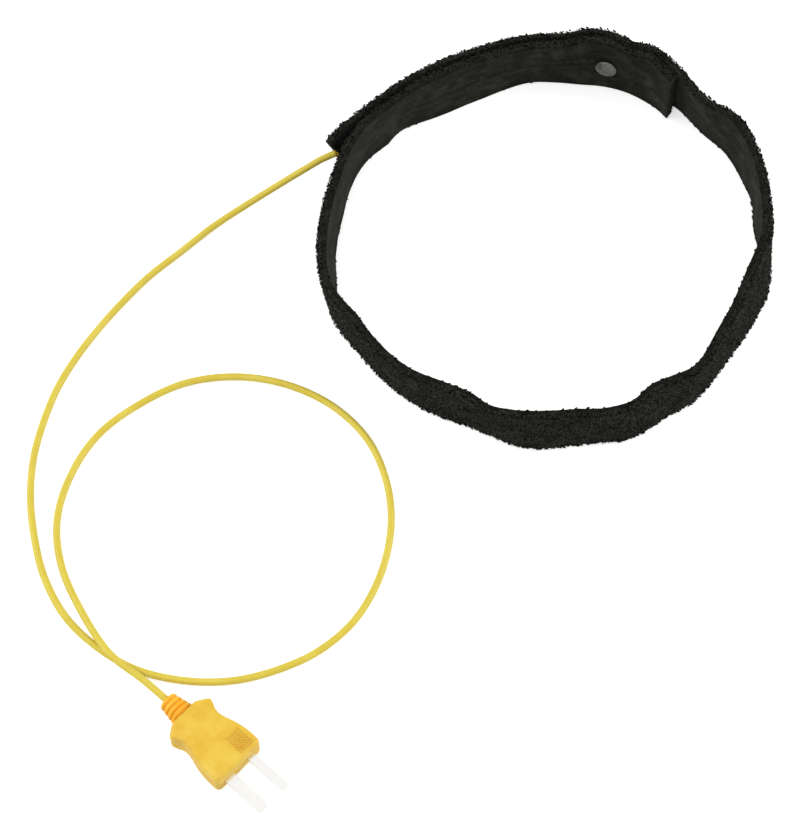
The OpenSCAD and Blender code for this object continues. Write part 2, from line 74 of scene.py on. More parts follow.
# How the strap lies: angle, sway of its bottom edge, sway of its top edge
STRAP_LAY = np.array([
    (60, 1.4 + LAP, 2.4 + LAP),
    (52, 4.6, 2.6), (46, 3.4, 0.4), (40, 2.8, 0.3), (33, 3.6, 3), (24, 3, 2.5), (16, 2.3, 1.4),
    (8, 0.3, 0.3), (-2, 1.2, -0.5), (-12, 1.1, -3), (-18, -0.2, -4), (-30, -2, -3.9),
    (-38, -2.2, -3.1), (-50, -1.1, -0.6), (-58, -1.8, -1.9), (-63, -1, -2.2), (-70, -0.3, 0.3),
    (-78, -1.5, 0), (-84, -1.8, -0.9), (-96, -1, -0.2), (-106, -3, 0.2), (-112, -3.7, -1.9),
    (-118, -3.2, -1.9), (-130, -2.3, 0.2), (-144, -1.7, 0.4), (-150, -1.3, 0.3), (-156, -0.2, 1.8),
    (-162, 0.4, 3), (-172, -0.8, 1.9), (-182, -1.1, 0.4), (-194, -1.3, -0.6), (-206, -0.3, -0.5),
    (-213, -0.3, -0.7), (-220, -1.5, -1.8), (-226, -1.1, -2.6), (-238, -4, -3.3), (-252, -3.6, -3.2),
    (-268, -0.3, -1.5), (-276, 0, -0.6), (-282, 0.3, 2.2), (-288, 1.3, 2.7), (-293, 1.7, 1.4),
    (-299, 1.3, 2.5), (-305, 0.6, 0.3), (-312, -1.6, -1.6),
])
NEIGHBOURS = np.pad(STRAP_LAY, ((1, 1), (0, 0)), mode="edge")
SLOPES = (NEIGHBOURS[2:, 1:] - NEIGHBOURS[:-2, 1:]) / (NEIGHBOURS[2:, :1] - NEIGHBOURS[:-2, :1])


def ease(t):
    """Smooth step from 0 to 1."""
    s = np.clip(t, 0, 1)
    return s * s * (3 - 2 * s)


def arc(degrees):
    """Length along the seam, in millimetres."""
    return np.radians(degrees) * LOOP_R


def sway(a, edge):
    """Sway of the bottom (0) or top (1) edge at the angles a."""
    row = np.clip(np.searchsorted(-STRAP_LAY[:, 0], -a, side="right") - 1, 0, len(STRAP_LAY) - 2)
    wide = STRAP_LAY[row + 1, 0] - STRAP_LAY[row, 0]
    t = (a - STRAP_LAY[row, 0]) / wide
    left = 1 - t
    start, end = STRAP_LAY[row, edge + 1], STRAP_LAY[row + 1, edge + 1]
    return (start * left * left * (1 + 2 * t) + end * t * t * (3 - 2 * t)
            + wide * (SLOPES[row, edge] * t * left * left - SLOPES[row + 1, edge] * t * t * left))


def seam_radius(a, z):
    """Radius of the seam between the plies. Angles above ROOT_FLEX are the flap's, over the tail."""
    flap = a > ROOT_FLEX
    under = np.where(flap, a - 360, a)
    share = z / STRAP_W
    lift = TIP_LIFT * ease((a - LIFT_FROM) / (LIFT_TO - LIFT_FROM))
    return LOOP_R + sway(under, 0) * (1 - share) + sway(under, 1) * share + np.where(flap, LAP + lift, 0)


def strap_points(a, u, z):
    """Points in metres at angles a, heights z and distances u outwards from the seam."""
    a, u, z = np.broadcast_arrays(*[np.asarray(v, float) for v in (a, u, z)])
    r = seam_radius(a, z) + u
    turn = np.radians(a)
    return MM * np.stack([LOOP_AT[0] + r * np.cos(turn), LOOP_AT[1] + r * np.sin(turn), z], -1)


def slanted(a, z):
    """The angle at height z in a section at angle a: the flap's end edge is cut on a slant."""
    half = math.degrees(TIP_SLANT / LOOP_R) / 2 * np.maximum(0, (a - MID_FLEX) / (TIP_END - MID_FLEX))
    return a + half * (2 * z / STRAP_W - 1)


def strap_frames(a, u, z):
    """Points on the strap, with the unit vectors along it, across it and out of it."""
    step = 0.2
    along = strap_points(slanted(a + step, z), u, z) - strap_points(slanted(a - step, z), u, z)
    across = strap_points(a, u, z + step) - strap_points(a, u, z - step)
    along /= np.linalg.norm(along, axis=1, keepdims=True)
    out = np.cross(along, across)
    out /= np.linalg.norm(out, axis=1, keepdims=True)
    return strap_points(slanted(a, z), u, z), along, np.cross(out, along), out


# ---- The lead's route and the plug's place, as in the part's source ----

LEAD_D = 2.0
PLUG_AT = (-98.3, -143.6)
PLUG_TURN = math.radians(-43)
PLUG_LEN, PLUG_W, WING_W, WAIST_W, PLUG_T = 20.5, 16.0, 14.6, 12.3, 8.0
BOOT_LEN = 6.4
BOOT_BASE_D = 7.4
STRIP_X = 2.8


def placed(x, y, z):
    """A point given from the loop's centre, in metres in the part's frame."""
    return MM * Vector((LOOP_AT[0] + x, LOOP_AT[1] + y, z))


def plug_point(x, y, z):
    """A point given along the plug's axis, to its left and above the table."""
    c, s = math.cos(PLUG_TURN), math.sin(PLUG_TURN)
    return placed(PLUG_AT[0] + x * c - y * s, PLUG_AT[1] + x * s + y * c, z)


LEAD_DROP = [
    (-64.6, 26.4, 10.7), (-69.2, 24.2, 9.2), (-76, 21.2, 6.4), (-86, 16, 3.1), (-96, 9.3, 1.4),
]
LEAD_ON_TABLE = [
    (-105, 1), (-114, -7.5), (-121.5, -16.5), (-128, -25.5), (-133.5, -34.5), (-138, -44),
    (-141.2, -54.5), (-143.3, -66), (-143.4, -78), (-141.6, -90), (-138.2, -102), (-132, -113.5),
    (-123, -122.5), (-112, -129.2), (-99, -132.4), (-86, -132.4), (-74, -129.2), (-63, -123.6),
    (-53.5, -114.4), (-47, -101.5), (-44.2, -87), (-45.6, -73), (-51, -60), (-61, -49.5),
    (-74, -42.8), (-88, -40.4), (-102, -42.4), (-114.5, -49), (-125.5, -58.5), (-132.5, -71),
    (-135.6, -85),
]
LEAD_TO_PLUG = [(-133.6, -99, 1.2), (-127.4, -112.6, 1.9)]
LEAD_RUN = LEAD_DROP + [(x, y, 1.1) for x, y in LEAD_ON_TABLE] + LEAD_TO_PLUG
# The jacket starts a little nearer the strap than the source's, close over the conductors' ends
LEAD_START = strap_points(LEAD_ANGLE - 360, WEB_T + LEAD_STAND_OFF - 1, WIRE_Z + LEAD_RISE - 0.1)
LEAD_ROUTE = (
    [Vector(LEAD_START)]
    + [placed(*p) for p in LEAD_RUN]
    + [plug_point(-28, -0.8, 3.1), plug_point(-16, -0.2, 3.8)]
    + [plug_point(x, 0, PLUG_T / 2) for x in (-BOOT_LEN - 1, 0, STRIP_X)]
)

# ---- Camera and lead ----


def new_object(name, data):
    """An object of this data, linked to the scene."""
    made = bpy.data.objects.new(name, data)
    bpy.context.scene.collection.objects.link(made)
    return made


CAMERA_AT = placed(-41.764, -394.127, 642.786)
CAMERA_DOWN = 62

# A long lens from in front, looking down on the table
lens = bpy.data.cameras.new("camera")
lens.lens = 112.5
lens.sensor_width = 36
lens.clip_start = 0.01
camera = new_object("camera", lens)
camera.location = CAMERA_AT
camera.rotation_euler = (math.radians(90 - CAMERA_DOWN), 0, 0)
bpy.context.scene.camera = camera


def lead_jacket():
    """The lead as one smooth curve through the route's points."""
    data = bpy.data.curves.new("lead_jacket", "CURVE")
    data.dimensions = "3D"
    data.resolution_u = 8
    data.bevel_depth = LEAD_D / 2 * MM
    data.bevel_resolution = 5
    data.use_fill_caps = True
    spline = data.splines.new("BEZIER")
    last = len(LEAD_ROUTE) - 1
    spline.bezier_points.add(last)
    for i, point in enumerate(spline.bezier_points):
        handle = (LEAD_ROUTE[min(last, i + 1)] - LEAD_ROUTE[max(0, i - 1)]) / 6
        point.co = LEAD_ROUTE[i]
        point.handle_left = LEAD_ROUTE[i] - handle
        point.handle_right = LEAD_ROUTE[i] + handle
    return new_object("lead_jacket", data)


# ---- Modelling helpers ----


def clear():
    """Object mode, with nothing selected."""
    if bpy.context.object and bpy.context.object.mode != "OBJECT":
        bpy.ops.object.mode_set(mode="OBJECT")
    bpy.ops.object.select_all(action="DESELECT")


def only(piece):
    """Object mode, with this piece alone selected and active."""
    clear()
    piece.select_set(True)
    bpy.context.view_layer.objects.active = piece


def edit(piece, action="DESELECT"):
    """Edit mode on this piece, with nothing of it selected, or all of it."""
    only(piece)
    bpy.ops.object.mode_set(mode="EDIT")
    bpy.ops.mesh.select_all(action=action)


def face_outwards():
    """In edit mode, selects the whole piece and turns its faces outwards."""
    bpy.ops.mesh.select_all(action="SELECT")
    bpy.ops.mesh.normals_make_consistent(inside=False)


def pick(kind, test):
    """In edit mode, selects the edges or faces that pass the test, and no others."""
    bpy.ops.mesh.select_mode(type=kind)
    bpy.ops.mesh.select_all(action="DESELECT")
    mesh = bmesh.from_edit_mesh(bpy.context.edit_object.data)
    for element in mesh.edges if kind == "EDGE" else mesh.faces:
        element.select_set(bool(test(element)))
    mesh.select_flush_mode()
    bmesh.update_edit_mesh(bpy.context.edit_object.data)


def pull(move, size=None, **settings):
    """In edit mode, extrudes what is selected, moves it and draws it in to this size."""
    bpy.ops.mesh.extrude_region_move(TRANSFORM_OT_translate={"value": move})
    if size:
        bpy.ops.transform.resize(value=size, **settings)


def pick_edges(axis, run):
    """In edit mode, selects the edges that run further than this along an axis."""
    pick("EDGE", lambda e: abs(e.verts[0].co[axis] - e.verts[1].co[axis]) > run)


def middle(edge):
    """The middle of an edge."""
    return (edge.verts[0].co + edge.verts[1].co) / 2


def finished(name, smooth=40):
    """Leaves edit mode, puts the piece's place in its mesh and names it."""
    piece = bpy.context.object
    only(piece)
    bpy.ops.object.transform_apply(location=True, rotation=True, scale=True)
    bpy.ops.object.shade_smooth_by_angle(angle=math.radians(smooth))
    piece.name = name
    piece.data.name = name
    return piece


def modify(piece, kind, **settings):
    """Adds a modifier with these settings and applies it."""
    only(piece)
    modifier = piece.modifiers.new(kind.lower(), kind)
    for name, value in settings.items():
        setattr(modifier, name, value)
    bpy.ops.object.modifier_apply(modifier=modifier.name)


def cut_out(piece, *cutters):
    """Cuts each cutter's form out of the piece and removes the cutter."""
    for cutter in cutters:
        modify(piece, "BOOLEAN", operation="DIFFERENCE", solver="EXACT", object=cutter)
        bpy.data.objects.remove(cutter)


def dress(piece, material):
    """Gives a piece its material."""
    piece.data.materials.clear()
    piece.data.materials.append(material)
    return piece


def circle(count, radius, fill="NOTHING"):
    """A new ring of points in the XY plane, or a disc with NGON."""
    clear()
    bpy.ops.mesh.primitive_circle_add(vertices=count, radius=radius, fill_type=fill)
    return bpy.context.object


def turned_about_x(name, profile):
    """A profile of (x, radius) points, spun round the X axis into a closed form."""
    ring = circle(len(profile), 1)
    for vertex, (x, r) in zip(ring.data.vertices, profile):
        vertex.co = MM * Vector((x, r, 0))
    edit(ring, "SELECT")
    bpy.ops.mesh.spin(steps=64, angle=2 * math.pi, center=(0, 0, 0), axis=(1, 0, 0))
    bpy.ops.mesh.select_all(action="SELECT")
    bpy.ops.mesh.remove_doubles(threshold=1e-6)
    face_outwards()
    return finished(name)


def many(name, shape, points, along, across, out, sizes):
    """Copies of a small shape, one at each frame, joined into one piece."""
    body = np.array([v.co for v in shape.data.vertices])
    faces = [tuple(f.vertices) for f in shape.data.polygons]
    turns = np.stack([along, across, out], 2)
    placed_points = points[:, None, :] + np.einsum("nij,nvj->nvi", turns, body[None] * sizes[:, None, :])
    mesh = bpy.data.meshes.new(name)
    joined = [tuple(i * len(body) + k for k in f) for i in range(len(points)) for f in faces]
    mesh.from_pydata(placed_points.reshape(-1, 3).tolist(), [], joined)
    mesh.update()
    piece = new_object(name, mesh)
    only(piece)
    bpy.ops.object.shade_smooth()
    return piece


# ---- Materials ----

BLACK, WHITE = (0, 0, 0, 1), (1, 1, 1, 1)


def feed(tree, socket, value):
    """Links another node's output to an input, or sets the input's own value."""
    if isinstance(value, bpy.types.NodeSocket):
        tree.links.new(value, socket)
    else:
        socket.default_value = value


def group_node(tree, group, **values):
    """Places a shader node group in a tree, with its values or links."""
    node = tree.nodes.new("ShaderNodeGroup")
    node.node_tree = group
    for name, value in values.items():
        feed(tree, node.inputs[name], value)
    return node


def new_group(name, inputs, outputs):
    """A shader node group. Its inputs have a default: None for a vector, a number or a colour."""
    tree = bpy.data.node_groups.new(name, "ShaderNodeTree")
    for label, value in inputs.items():
        kind = "Vector" if value is None else "Color" if isinstance(value, tuple) else "Float"
        socket = tree.interface.new_socket(name=label, in_out="INPUT", socket_type="NodeSocket" + kind)
        if value is not None:
            socket.default_value = value
    for label in outputs:
        kind = "Color" if label == "Color" else "Float"
        tree.interface.new_socket(name=label, in_out="OUTPUT", socket_type="NodeSocket" + kind)
    start = tree.nodes.new("NodeGroupInput")
    end = tree.nodes.new("NodeGroupOutput")
    return tree, start.outputs, end.inputs


def add(tree, kind, links=(), **settings):
    """Adds a node with these properties, and links or values at its named or numbered inputs."""
    node = tree.nodes.new("ShaderNode" + kind)
    for name, value in settings.items():
        setattr(node, name, value)
    for place, value in dict(links).items():
        feed(tree, node.inputs[place], value)
    return node


def put(tree, out, **values):
    """Links values to a shader node group's outputs."""
    for name, value in values.items():
        tree.links.new(value, out[name])


def calc(tree, operation, a, b=None, c=None):
    """A Math node's output."""
    values = {i: v for i, v in enumerate((a, b, c)) if v is not None}
    return add(tree, "Math", values, operation=operation).outputs[0]


def noise(tree, vector, scale, detail=2.0, roughness=0.5):
    """A Noise Texture node's value."""
    links = {"Vector": vector, "Scale": scale, "Detail": detail, "Roughness": roughness}
    return add(tree, "TexNoise", links).outputs[0]


def blended(tree, share, a, b):
    """Colour a where share is 0 and b where it is 1."""
    return add(tree, "Mix", {0: share, 6: a, 7: b}, data_type="RGBA").outputs[2]


def between(tree, value, low, high):
    """0 at low, 1 at high, held at the ends."""
    links = {0: value, 1: low, 2: high, 3: 0.0, 4: 1.0}
    return add(tree, "MapRange", links, interpolation_type="SMOOTHSTEP").outputs[0]


def colour(display):
    """A colour from its display values: red, green and blue, 0 to 255."""
    shares = [v / 255 for v in display]
    return (*[v / 12.92 if v <= 0.04 else ((v + 0.055) / 1.055) ** 2.4 for v in shares], 1)


def painted_edge_shade(tree, rise):
    """Painted shade along both edges of the strap: 1 over its width and lower along both of its edges, from
    the height above the table.
    """
    off_centre = calc(tree, "ABSOLUTE", calc(tree, "SUBTRACT", rise, STRAP_W / 2 * MM))
    return calc(tree, "MULTIPLY_ADD", between(tree, off_centre, 9.45 * MM, 8.9 * MM), 0.3, 0.7)


def make_mottle():
    """Slow and fine changes of tone over a surface."""
    inputs = dict(Vector=None, Size=100.0, Fine=2000.0, Dark=BLACK, Light=WHITE)
    tree, given, out = new_group("mottle", inputs, ["Color"])
    slow = between(tree, noise(tree, given["Vector"], given["Size"], 3.0), 0.3, 0.7)
    fine = between(tree, noise(tree, given["Vector"], given["Fine"], 2.0), 0.3, 0.7)
    mask = calc(tree, "MULTIPLY_ADD", fine, 0.4, calc(tree, "MULTIPLY", slow, 0.6))
    put(tree, out, Color=blended(tree, mask, given["Dark"], given["Light"]))
    return tree


def make_pile():
    """Matted loop pile: tufts of a few tenths of a millimetre, with paler tips, and painted shade in the low
    hollows between them and along the strap's edges.
    """
    inputs = dict(Vector=None, Tuft=1800.0, Hollow=BLACK, Tip=WHITE)
    tree, given, out = new_group("loop_pile", inputs, ["Color", "Height"])
    tufts = add(tree, "TexVoronoi", {"Vector": given["Vector"], "Scale": given["Tuft"]}).outputs["Distance"]
    curl = noise(tree, given["Vector"], calc(tree, "MULTIPLY", given["Tuft"], 2.2), 4.0, 0.7)
    clumps = noise(tree, given["Vector"], calc(tree, "MULTIPLY", given["Tuft"], 0.16), 3.0)
    height = calc(tree, "MULTIPLY_ADD", curl, 0.7, calc(tree, "SUBTRACT", 0.8, tufts))
    height = calc(tree, "MULTIPLY_ADD", clumps, 0.6, height)
    rise = add(tree, "SeparateXYZ", {0: given["Vector"]}).outputs[2]
    # Painted shade: darker where the tufts are low, and along both edges of the strap
    share = calc(tree, "MULTIPLY", between(tree, height, 0.6, 1.4), painted_edge_shade(tree, rise))
    put(tree, out, Color=blended(tree, share, given["Hollow"], given["Tip"]), Height=height)
    return tree


def waves(tree, place, shift, length):
    """A sine wave of this length along a coordinate."""
    turns = calc(tree, "DIVIDE", calc(tree, "ADD", place, shift), length)
    return calc(tree, "SINE", calc(tree, "MULTIPLY", turns, 2 * math.pi))


def make_knit():
    """Warp knit: fine ribs along the cloth, crossed by shorter stitches, with paler worn places, and painted
    shade in the grooves between the yarns and along the strap's edges.
    """
    inputs = dict(Vector=None, Rib=0.00055, Stitch=0.00075, Groove=BLACK, Yarn=WHITE, Worn=WHITE)
    tree, given, out = new_group("warp_knit", inputs, ["Color", "Height"])
    parts = add(tree, "SeparateXYZ", {0: given["Vector"]})
    waver = calc(tree, "MULTIPLY", noise(tree, given["Vector"], 900.0, 2.0), 0.0005)
    rib = waves(tree, parts.outputs[1], waver, given["Rib"])
    stitch = waves(tree, parts.outputs[0], waver, given["Stitch"])
    yarn = calc(tree, "MULTIPLY_ADD", calc(tree, "MULTIPLY", rib, stitch), 0.25,
                calc(tree, "MULTIPLY_ADD", rib, 0.25, 0.5))
    fuzz = noise(tree, given["Vector"], 5200.0, 4.0, 0.7)
    height = calc(tree, "MULTIPLY_ADD", fuzz, 0.8, yarn)
    # Painted shade: darker where the yarn is low, in the grooves
    cloth = blended(tree, between(tree, height, 0.4, 1.3), given["Groove"], given["Yarn"])
    wear = between(tree, noise(tree, given["Vector"], 160.0, 4.0, 0.6), 0.45, 0.7)
    drawn = add(tree, "Mapping", {"Vector": given["Vector"], "Scale": (0.35, 1.0, 1.0)}).outputs[0]
    streaks = between(tree, noise(tree, drawn, 520.0, 4.0, 0.65), 0.42, 0.7)
    wear = calc(tree, "MULTIPLY_ADD", streaks, 0.3, calc(tree, "MULTIPLY", wear, 0.45))
    cloth = blended(tree, wear, cloth, given["Worn"])
    # Painted shade along both edges of the strap
    edges = painted_edge_shade(tree, parts.outputs[1])
    put(tree, out, Color=blended(tree, edges, given["Groove"], cloth), Height=height)
    return tree


def make_moulding():
    """Moulded plastic: spark-eroded grain, faint flow marks and cloudy paler places."""
    inputs = dict(Vector=None, Grain=4200.0, Deep=BLACK, Clean=WHITE, Pale=WHITE)
    tree, given, out = new_group("moulded_grain", inputs, ["Color", "Roughness", "Height"])
    grain = noise(tree, given["Vector"], given["Grain"], 3.0, 0.6)
    flow = between(tree, noise(tree, given["Vector"], 210.0, 3.0, 0.55), 0.32, 0.7)
    bloom = between(tree, noise(tree, given["Vector"], 90.0, 2.0), 0.5, 0.75)
    body = blended(tree, flow, given["Deep"], given["Clean"])
    tone = blended(tree, calc(tree, "MULTIPLY", bloom, 0.6), body, given["Pale"])
    put(tree, out, Color=tone, Roughness=calc(tree, "MULTIPLY_ADD", grain, 0.18, 0.34), Height=grain)
    return tree


def make_worn_metal():
    """Plated or plain metal: drawn lines and stains."""
    inputs = dict(Vector=None, Lines=2600.0, Clean=WHITE, Stain=BLACK, Smooth=0.25)
    tree, given, out = new_group("worn_metal", inputs, ["Color", "Roughness", "Height"])
    stretched = add(tree, "Mapping", {"Vector": given["Vector"], "Scale": (0.12, 1.0, 1.0)}).outputs[0]
    lines = noise(tree, stretched, given["Lines"], 3.0, 0.6)
    stains = between(tree, noise(tree, given["Vector"], 420.0, 4.0, 0.6), 0.46, 0.72)
    body = blended(tree, calc(tree, "MULTIPLY", stains, 0.7), given["Clean"], given["Stain"])
    rough = calc(tree, "MULTIPLY_ADD", lines, 0.2, calc(tree, "MULTIPLY_ADD", stains, 0.15, given["Smooth"]))
    put(tree, out, Color=body, Roughness=rough, Height=lines)
    return tree


MOTTLE = make_mottle()
LOOP_PILE = make_pile()
WARP_KNIT = make_knit()
MOULDED_GRAIN = make_moulding()
WORN_METAL = make_worn_metal()


def surface(name, roughness=0.5, sheen=0.0, metallic=0.0, specular=0.5, subsurface=0.0):
    """A material with a Principled shader, its coordinates and the constants that don't change over it."""
    material = bpy.data.materials.new(name)
    material.use_nodes = True
    tree = material.node_tree
    shader = tree.nodes["Principled BSDF"]
    constants = {"Roughness": roughness, "Sheen Weight": sheen, "Sheen Roughness": 0.5,
                 "Metallic": metallic, "Specular IOR Level": specular, "Subsurface Weight": subsurface}
    for socket, value in constants.items():
        shader.inputs[socket].default_value = value
    if subsurface:
        shader.inputs["Subsurface Radius"].default_value = (0.0012, 0.0007, 0.0002)
        shader.inputs["Subsurface Scale"].default_value = 1.0
    return material, tree, shader, add(tree, "TexCoord").outputs


def bumped(tree, shader, height, distance, strength):
    """Raises the surface by a height of this distance, in metres."""
    bump = add(tree, "Bump", {"Height": height, "Distance": distance, "Strength": strength})
    tree.links.new(bump.outputs[0], shader.inputs["Normal"])


def finish(tree, shader, group, distance, strength):
    """Feeds a group's colour and roughness to the shader, and its height to a bump."""
    for given, fed in (("Color", "Base Color"), ("Roughness", "Roughness")):
        if given in group.outputs:
            tree.links.new(group.outputs[given], shader.inputs[fed])
    bumped(tree, shader, group.outputs["Height"], distance, strength)


def grouped(name, group, distance, strength, look, over="Object", **values):
    """A material whose colour and relief come from a group. Its triples are display colours."""
    material, tree, shader, place = surface(name, **look)
    given = {k: colour(v) if isinstance(v, tuple) else v for k, v in values.items()}
    finish(tree, shader, group_node(tree, group, Vector=place[over], **given), distance, strength)
    return material


def pile_material(name, pile_shade, tip):
    """Loop pile, with painted shade between its threads and along the strap's edges."""
    look = dict(roughness=0.95, sheen=0.03, specular=0.04)
    return grouped(name, LOOP_PILE, 0.00035, 0.9, look, Tuft=1500.0, Hollow=pile_shade, Tip=tip)


def knit_material(name, groove, yarn, worn, rib, stitch):
    """Knitted cloth, laid along the strap by its cloth map. Its groove colour is painted shade, in the
    grooves and along the strap's edges.
    """
    look = dict(roughness=0.9, sheen=0.03, specular=0.06)
    return grouped(name, WARP_KNIT, 0.00012, 0.8, look, "UV", Rib=rib, Stitch=stitch,
                   Groove=groove, Yarn=yarn, Worn=worn)


def plastic_material(name, deep, clean, pale, grain=4200.0, **look):
    """Moulded or extruded plastic."""
    return grouped(name, MOULDED_GRAIN, 0.00003, 0.7, look, Grain=grain, Deep=deep, Clean=clean, Pale=pale)


def metal_material(name, clean, stain, smooth, lines=2600.0):
    """Bare or plated metal."""
    look = dict(metallic=1.0)
    return grouped(name, WORN_METAL, 0.00002, 0.6, look, Lines=lines, Clean=clean, Stain=stain, Smooth=smooth)


def thread_material(name, dark, light):
    """Sewing thread: two plies twisted round each other."""
    material, tree, shader, place = surface(name, roughness=0.75, specular=0.1)
    links = {"Vector": place["Object"], "Scale": 900.0, "Distortion": 2.0, "Detail": 1.0}
    twist = add(tree, "TexWave", links, bands_direction="DIAGONAL").outputs[1]
    tone = group_node(tree, MOTTLE, Vector=place["Object"], Size=500.0, Fine=5000.0,
                      Dark=colour(dark), Light=colour(light))
    tree.links.new(tone.outputs["Color"], shader.inputs["Base Color"])
    bumped(tree, shader, twist, 0.00004, 0.6)
    return material


# The first colour of each pile and knit is painted shade, for its hollows, grooves and edges
PILE = pile_material("strap_pile", (5, 5, 4), (62, 62, 55))
PILE_LOOPS = pile_material("pile_loops", (14, 14, 12), (88, 89, 80))
# The edge tufts are a darker copy of the pile: painted shade along the strap's edges
PAINTED_SHADE_TUFTS = pile_material("tufts_with_painted_shade", (3, 3, 3), (52, 52, 46))
LINER = knit_material("liner_knit", (6, 6, 5), (35, 36, 29), (66, 67, 58), 0.00055, 0.00075)
HOOK_BASE = knit_material("hook_tape_base", (10, 10, 10), (28, 28, 28), (40, 40, 40), 0.0006, 0.0006)
HOOKS = plastic_material("hook_nylon", (12, 12, 12), (24, 24, 24), (34, 34, 34), specular=0.4)
THREAD = thread_material("seam_thread", (14, 14, 13), (40, 40, 37))
WIRE_THREAD = thread_material("wire_stitching", (34, 34, 31), (62, 62, 57))
LEAD_JACKET = plastic_material("lead_jacket", (215, 193, 60), (220, 200, 68), (228, 209, 88),
                               grain=3000.0, specular=0.5, subsurface=0.1)
YELLOW_WIRE = plastic_material("yellow_conductor", (214, 170, 30), (236, 198, 50), (244, 214, 90))
RED_WIRE = plastic_material("red_conductor", (120, 20, 16), (170, 34, 26), (190, 60, 50))
SHELL = plastic_material("plug_housing", (226, 180, 46), (233, 196, 66), (238, 207, 94),
                         specular=0.45, subsurface=0.1)
GRIP = plastic_material("finger_grip", (216, 164, 38), (227, 182, 54), (234, 192, 74))
BOOT = plastic_material("plug_boot", (242, 172, 36), (250, 192, 54), (252, 204, 84),
                        grain=3000.0, specular=0.3)
SENSOR = metal_material("contact_disc", (122, 124, 117), (46, 47, 43), smooth=0.34, lines=1500.0)
BEAD = metal_material("junction_bead", (120, 112, 100), (60, 52, 46), smooth=0.4)
CORE = metal_material("bare_core", (206, 203, 190), (150, 142, 124), smooth=0.3)
BLADE = metal_material("contact_blade", (246, 245, 241), (234, 232, 226), smooth=0.1)
STEEL = metal_material("plated_steel", (210, 210, 206), (140, 138, 130), smooth=0.22)
BRASS = metal_material("turned_brass", (214, 178, 96), (150, 116, 60), smooth=0.25)

# ---- Strap ----

# Each length rides on one body, or lies over the bend between two: bodies, and the middle and half of its
# bend
LENGTHS = {
    "cuff": (["cuff"], None),
    "lower_bend": (["cuff", "lower_arm"], (LOWER_FLEX, 12)),
    "upper_bend": (["lower_arm", "upper_arm"], (UPPER_FLEX, 12)),
    "flap_bend": (["upper_arm", "flap_root"], (ROOT_FLEX, 10)),
    "mid_bend": (["flap_root", "flap_mid"], (FLAP_FLEX, 8)),
    "tip_bend": (["flap_mid", "flap_tip"], (MID_FLEX, 8)),
}
# The cloth under the pile and under the hooks, and the liner's folded hems
WEB_BASE_T, HOOK_BASE_T, HEM = 1.3, 0.45, 1.5
CLOTH_PITCH, STITCH_PITCH = 1.1, 2.3


def with_bodies(piece, length):
    """Makes a piece of this length ride on its body; a piece over a bend between two bodies only has its
    place put in its mesh.
    """
    bodies, bend = LENGTHS[length]
    if bend is None:
        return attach(piece, bodies[0])
    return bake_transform(piece)


def cloth_strip(name, a0, a1, u0, u1, rows, relief):
    """A strip of cloth from angle a0 down to a1, and from u0 to u1 out of the seam, with rounded
    edges. rows are the heights of its lengthwise lines, and relief moves its points in and out."""
    edge = rows[0]
    length = arc(a0 - a1)
    clear()
    bpy.ops.mesh.primitive_cube_add(size=1, calc_uvs=False, location=(length / 2, (u0 + u1) / 2, STRAP_W / 2))
    strip = bpy.context.object
    strip.scale = (length, u1 - u0, STRAP_W)
    bpy.ops.object.transform_apply(location=True, rotation=True, scale=True)
    edit(strip)
    pick_edges(0, length / 2)
    bpy.ops.mesh.bevel(offset=edge, segments=3, profile=0.6, affect="EDGES", clamp_overlap=False)
    pick_edges(2, STRAP_W / 2)
    bpy.ops.mesh.subdivide(number_cuts=len(rows) - 2)
    pick_edges(0, length / 2)
    bpy.ops.mesh.subdivide(number_cuts=int(length / CLOTH_PITCH))
    bpy.ops.object.mode_set(mode="OBJECT")
    mesh = strip.data
    flat = np.array([v.co for v in mesh.vertices])
    even = np.linspace(edge, STRAP_W - edge, len(rows))
    inner = (flat[:, 2] > edge - 1e-4) & (flat[:, 2] < STRAP_W - edge + 1e-4)
    flat[inner, 2] = np.interp(flat[inner, 2], even, rows)
    a = a0 - np.degrees(flat[:, 0] / LOOP_R)
    u, z = relief(a, flat[:, 1], flat[:, 2])
    laid = strap_points(slanted(a, z), u, z)
    mesh.vertices.foreach_set("co", laid.ravel())
    sheet_map = mesh.uv_layers.new(name="cloth")
    along = flat[:, 0] + arc(TIP_END - a0)
    corners = np.array([loop.vertex_index for loop in mesh.loops])
    sheet_map.data.foreach_set("uv", (MM * np.stack([along[corners], flat[corners, 2]], 1)).ravel())
    mesh.update()
    edit(strip)
    face_outwards()
    return finished(name, 50)


def ripple(a, z, seed):
    """Soft, uneven ripples of the cloth, about 1 in height."""
    s = arc(a)
    return (0.5 * np.sin(s / 5.3 + seed + 0.9 * np.sin(z / 4.0 + seed))
            + 0.3 * np.sin(s / 2.9 + 2 * seed + z / 3.1) + 0.2 * np.sin(s / 1.7 - z / 2.3 + 3 * seed))


def web_relief(a, u, z):
    """The outer ply: soft ripples on its pile side, none on the seam side."""
    outer = ease(u / WEB_BASE_T)
    return u + outer * 0.16 * ripple(a, z, 1.3), z


def liner_relief(a, u, z):
    """The inner ply: folded hems along its edges and at the tail, and the wires' bulge."""
    inner = ease(-u / LINER_T)
    hem = np.maximum(ease((HEM + 0.15 - z) / 0.3), ease((z - STRAP_W + HEM + 0.15) / 0.3))
    to_end = arc(a - TAIL_END)
    hem = np.maximum(hem, ease((HEM + 0.3 - to_end) / 0.6))
    tail = a + 360
    bulge = ease((tail - SENSOR_ANGLE) / 3) * ease((LEAD_ANGLE - tail) / 4)
    bulge = bulge * np.exp(-((z - WIRE_Z) / 0.95) ** 2)
    return u - inner * (0.22 * hem + 0.32 * bulge + 0.14 * ripple(a, z, 2.1)), z


